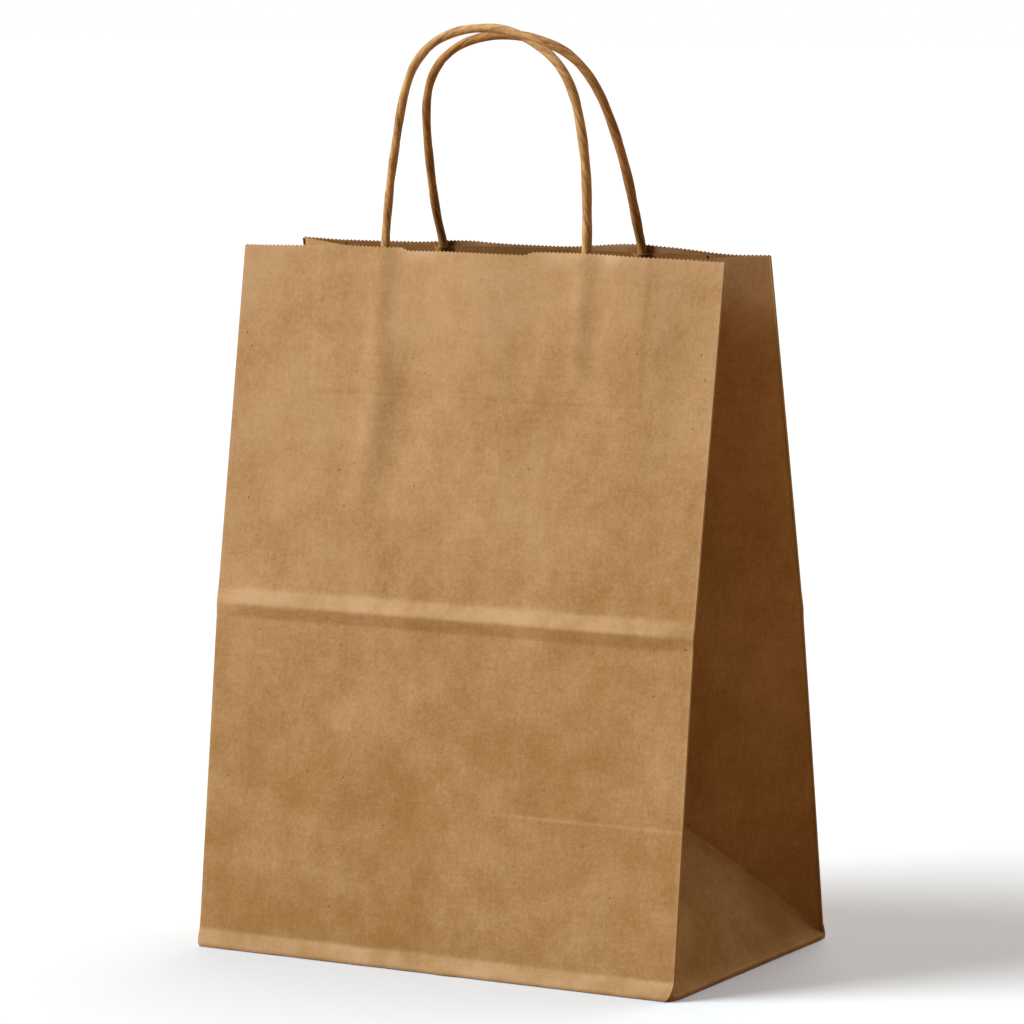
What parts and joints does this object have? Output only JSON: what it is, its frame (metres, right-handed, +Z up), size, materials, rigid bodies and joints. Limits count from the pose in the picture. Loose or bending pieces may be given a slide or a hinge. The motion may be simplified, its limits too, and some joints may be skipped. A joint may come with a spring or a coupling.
{
  "type": "paper gift bag",
  "caption": "Flat-bottomed folded paper bag with gusseted sides, a toothed rim and a pair of looped twisted paper cord handles.",
  "frame": {"origin": "middle of the bag's flat bottom, on the surface that it stands on", "axes": "+Z up, -Y toward the front panel, +X toward the right gusset"},
  "size_m": [0.203, 0.121, 0.3471],
  "materials": {
    "kraft_paper": "uncoated brown kraft paper with fine fibres",
    "paper_cord": "twisted brown kraft paper cord"
  },
  "bodies": {
    "base": {"front_bottom_flap": "kraft_paper", "back_bottom_flap": "kraft_paper", "left_bottom_flap": "kraft_paper", "right_bottom_flap": "kraft_paper"},
    "front_side": {"front_panel": "kraft_paper", "front_patch_backing": "kraft_paper", "front_patch_cover": "kraft_paper", "front_left_cord_end": "paper_cord", "front_right_cord_end": "paper_cord"},
    "back_side": {"back_panel": "kraft_paper", "back_seam_lap": "kraft_paper", "back_patch_backing": "kraft_paper", "back_patch_cover": "kraft_paper", "back_left_cord_end": "paper_cord", "back_right_cord_end": "paper_cord"},
    "left_bottom_fold": {"left_bottom_triangle": "kraft_paper"},
    "right_bottom_fold": {"right_bottom_triangle": "kraft_paper"},
    "left_gusset_front_fold": {"left_gusset_front": "kraft_paper"},
    "left_gusset_back_fold": {"left_gusset_back": "kraft_paper"},
    "right_gusset_front_fold": {"right_gusset_front": "kraft_paper"},
    "right_gusset_back_fold": {"right_gusset_back": "kraft_paper"},
    "front_handle": {"front_handle_cord": "paper_cord"},
    "back_handle": {"back_handle_cord": "paper_cord"}
  },
  "joints": [
    {"name": "front_side_opening", "type": "hinge", "parent": "base", "child": "front_side", "pos_m": [0, -0.06037, 0.00025], "axis": [1, 0, 0], "range_deg": [0, 8.59]},
    {"name": "back_side_opening", "type": "hinge", "parent": "base", "child": "back_side", "pos_m": [0, 0.06037, 0.00025], "axis": [-1, 0, 0], "range_deg": [0, 8.75]},
    {"name": "left_bottom_triangle_turn", "type": "hinge", "parent": "base", "child": "left_bottom_fold", "pos_m": [-0.10138, 0, 0.00025], "axis": [0, -1, 0], "range_deg": [0, 28.52]},
    {"name": "left_gusset_front_turn", "type": "hinge", "parent": "front_side", "child": "left_gusset_front_fold", "pos_m": [-0.1015, -0.04044, 0.13222], "axis": [0, 0.1494, 0.9888], "range_deg": [0, 70.24], "deforming": ["left_gusset_front"]},
    {"name": "left_gusset_back_turn", "type": "hinge", "parent": "back_side", "child": "left_gusset_back_fold", "pos_m": [-0.1015, 0.04019, 0.13218], "axis": [0, 0.1513, -0.9885], "range_deg": [0, 70.24], "deforming": ["left_gusset_back"]},
    {"name": "right_bottom_triangle_turn", "type": "hinge", "parent": "base", "child": "right_bottom_fold", "pos_m": [0.10138, 0, 0.00025], "axis": [0, 1, 0], "range_deg": [0, 28.52]},
    {"name": "right_gusset_front_turn", "type": "hinge", "parent": "front_side", "child": "right_gusset_front_fold", "pos_m": [0.1015, -0.04044, 0.13222], "axis": [0, -0.1494, -0.9888], "range_deg": [0, 70.24], "deforming": ["right_gusset_front"]},
    {"name": "right_gusset_back_turn", "type": "hinge", "parent": "back_side", "child": "right_gusset_back_fold", "pos_m": [0.1015, 0.04019, 0.13218], "axis": [0, -0.1513, 0.9885], "range_deg": [0, 70.24], "deforming": ["right_gusset_back"]},
    {"name": "front_handle_swing", "type": "hinge", "parent": "front_side", "child": "front_handle", "pos_m": [0, -0.0205, 0.26419], "axis": [1, 0, 0], "range_deg": [-4, 168]},
    {"name": "back_handle_swing", "type": "hinge", "parent": "back_side", "child": "back_handle", "pos_m": [0, 0.02, 0.26411], "axis": [-1, 0, 0], "range_deg": [-2, 180]}
  ],
  "couplings": [
    {"joint": "back_side_opening", "follows": "front_side_opening", "ratio": 1.0126},
    {"joint": "left_bottom_triangle_turn", "follows": "front_side_opening", "ratio": 3.3138},
    {"joint": "left_gusset_front_turn", "follows": "front_side_opening", "ratio": 8.1656},
    {"joint": "left_gusset_back_turn", "follows": "front_side_opening", "ratio": 8.1649},
    {"joint": "right_bottom_triangle_turn", "follows": "front_side_opening", "ratio": 3.3138},
    {"joint": "right_gusset_front_turn", "follows": "front_side_opening", "ratio": 8.1656},
    {"joint": "right_gusset_back_turn", "follows": "front_side_opening", "ratio": 8.1649}
  ]
}
